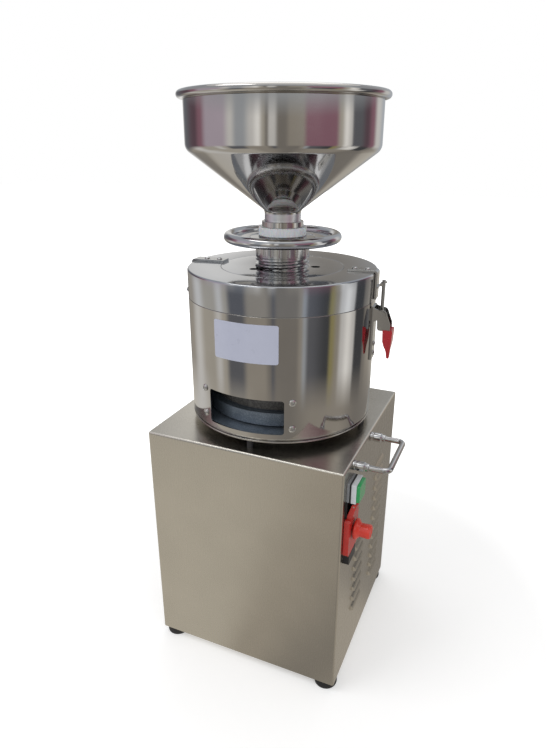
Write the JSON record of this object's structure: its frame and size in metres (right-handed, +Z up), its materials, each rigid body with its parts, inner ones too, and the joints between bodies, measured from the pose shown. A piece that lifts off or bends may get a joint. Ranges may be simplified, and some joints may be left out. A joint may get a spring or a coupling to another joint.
{
  "type": "nut butter grinder",
  "caption": "Floor-standing nut butter grinder: steel cabinet with motor, drum with grinding stones and outlet, latched lid, hand wheel for the stone gap, and a hopper.",
  "frame": {"origin": "on the floor under the grinding axis, in the plane of the feet", "axes": "+Z up along the grinding axis, the outlet faces -Y, the switch and the side handle are on +X"},
  "size_m": [0.356, 0.3185, 0.836],
  "materials": {
    "black_plastic": "moulded",
    "black_rubber": "matte",
    "bronze_ring": "turned bronze",
    "cast_aluminium": "cast, blue-grey",
    "cast_housing": "cast, painted",
    "chrome_plate": "bright chrome",
    "copper_winding": "varnished copper",
    "dark_steel": "dark, plain",
    "green_plastic": "moulded, green",
    "grey_plastic": "moulded",
    "grinding_stone": "dressed stone",
    "pale_plastic": "moulded",
    "plate_blue": "pale blue, bare",
    "polished_sheet": "polished stainless steel",
    "red_grip": "dipped, red",
    "red_plastic": "moulded, red",
    "satin_lid": "bead-blasted stainless steel",
    "satin_sheet": "satin, warm grey",
    "screw_steel": "plain steel",
    "seal_rubber": "matte",
    "strap_steel": "satin steel",
    "turned_steel": "turned, satin",
    "white_nylon": "turned, off-white"
  },
  "bodies": {
    "frame": {"cabinet_shell": "satin_sheet", "rear_panel": "satin_sheet", "rear_screws": "screw_steel", "base_tray": "satin_sheet", "feet": "black_rubber", "cable_gland": "black_plastic", "side_handle": "chrome_plate", "handle_ferrules": "chrome_plate", "switch_base": "black_plastic", "switch_plate": "grey_plastic", "switch_gasket": "black_rubber", "switch_housing": "pale_plastic", "flap_pin": "screw_steel", "motor_flange": "cast_housing", "motor_housing": "cast_housing", "motor_end_bell": "cast_housing", "fan_cowl": "dark_steel", "stator_core": "copper_winding", "motor_bearings": "turned_steel", "drum_shell": "polished_sheet", "drum_base_plate": "polished_sheet", "drum_spacers": "black_rubber", "chamber_floor": "cast_aluminium", "shaft_seal": "seal_rubber", "lid_seal": "seal_rubber", "outlet_screws": "screw_steel", "label_plate": "plate_blue", "drum_hinge_leaf": "strap_steel", "hinge_pin": "turned_steel", "latch_base": "strap_steel", "latch_screws": "screw_steel"},
    "start_button": {"start_button": "green_plastic"},
    "stop_button": {"stop_button": "red_plastic"},
    "stop_flap": {"stop_flap": "red_plastic"},
    "stop_knob": {"stop_knob": "red_plastic"},
    "rotor": {"rotor_shaft": "turned_steel", "rotor_core": "dark_steel", "cooling_fan": "black_plastic", "slinger_disc": "cast_aluminium", "lower_stone": "grinding_stone", "feed_cone": "turned_steel"},
    "lid": {"lid_shell": "satin_lid", "lid_plate": "satin_lid", "lid_hinge_strap": "strap_steel", "keeper_strap": "strap_steel", "lid_screws": "screw_steel"},
    "carriage": {"stone_carrier": "cast_aluminium", "upper_stone": "grinding_stone", "guide_pins": "turned_steel", "thrust_ring": "bronze_ring"},
    "adjuster": {"adjusting_sleeve": "turned_steel", "knurled_collar": "turned_steel", "hand_wheel": "chrome_plate"},
    "hopper_nut": {"nylon_nut": "white_nylon"},
    "hopper": {"hopper": "polished_sheet"},
    "lever": {"latch_lever": "strap_steel", "latch_grip": "red_grip", "hook_pivot": "turned_steel"},
    "hook": {"latch_hook": "strap_steel", "hook_nut": "screw_steel"}
  },
  "joints": [
    {"name": "rotor_spin", "type": "hinge", "parent": "frame", "child": "rotor", "pos_m": [0, 0, 0.42], "axis": [0, 0, 1], "continuous": true},
    {"name": "lid_hinge", "type": "hinge", "parent": "frame", "child": "lid", "pos_m": [-0.14445, -0.01264, 0.566], "axis": [0.0872, -0.9962, 0], "range_deg": [0, 95]},
    {"name": "gap_slide", "type": "slide", "parent": "lid", "child": "carriage", "axis": [0, 0, 1], "range_m": [-0.00101, 0.00501]},
    {"name": "wheel_turn", "type": "hinge", "parent": "carriage", "child": "adjuster", "pos_m": [0, 0, 0.6], "axis": [0, 0, 1], "range_deg": [-45, 225]},
    {"name": "nut_turn", "type": "hinge", "parent": "adjuster", "child": "hopper_nut", "pos_m": [0, 0, 0.655], "axis": [0, 0, 1], "range_deg": [0, 180]},
    {"name": "hopper_lift", "type": "slide", "parent": "hopper_nut", "child": "hopper", "axis": [0, 0, 1], "range_m": [0, 0.12]},
    {"name": "latch_lever", "type": "hinge", "parent": "frame", "child": "lever", "pos_m": [0.14794, 0.01294, 0.552], "axis": [0.0872, -0.9962, 0], "range_deg": [-9, 70]},
    {"name": "hook_swing", "type": "hinge", "parent": "lever", "child": "hook", "pos_m": [0.14644, 0.01281, 0.533], "axis": [0.0872, -0.9962, 0], "range_deg": [-70, 9]},
    {"name": "start_press", "type": "slide", "parent": "frame", "child": "start_button", "axis": [-1, 0, 0], "range_m": [0, 0.0025], "stiffness_N_per_m": 400, "springref_m": -0.001},
    {"name": "flap_swing", "type": "hinge", "parent": "frame", "child": "stop_flap", "pos_m": [0.161, -0.117, 0.325], "axis": [0, -1, 0], "range_deg": [0, 100]},
    {"name": "knob_press", "type": "slide", "parent": "stop_flap", "child": "stop_knob", "axis": [-1, 0, 0], "range_m": [0, 0.0018], "stiffness_N_per_m": 800, "springref_m": -0.001},
    {"name": "stop_press", "type": "slide", "parent": "frame", "child": "stop_button", "axis": [-1, 0, 0], "range_m": [0, 0.0018]}
  ],
  "couplings": [
    {"joint": "gap_slide", "follows": "wheel_turn", "m_per_rad": 0.0012732},
    {"joint": "hook_swing", "follows": "latch_lever", "ratio": -1},
    {"joint": "stop_press", "follows": "knob_press", "ratio": 1}
  ]
}
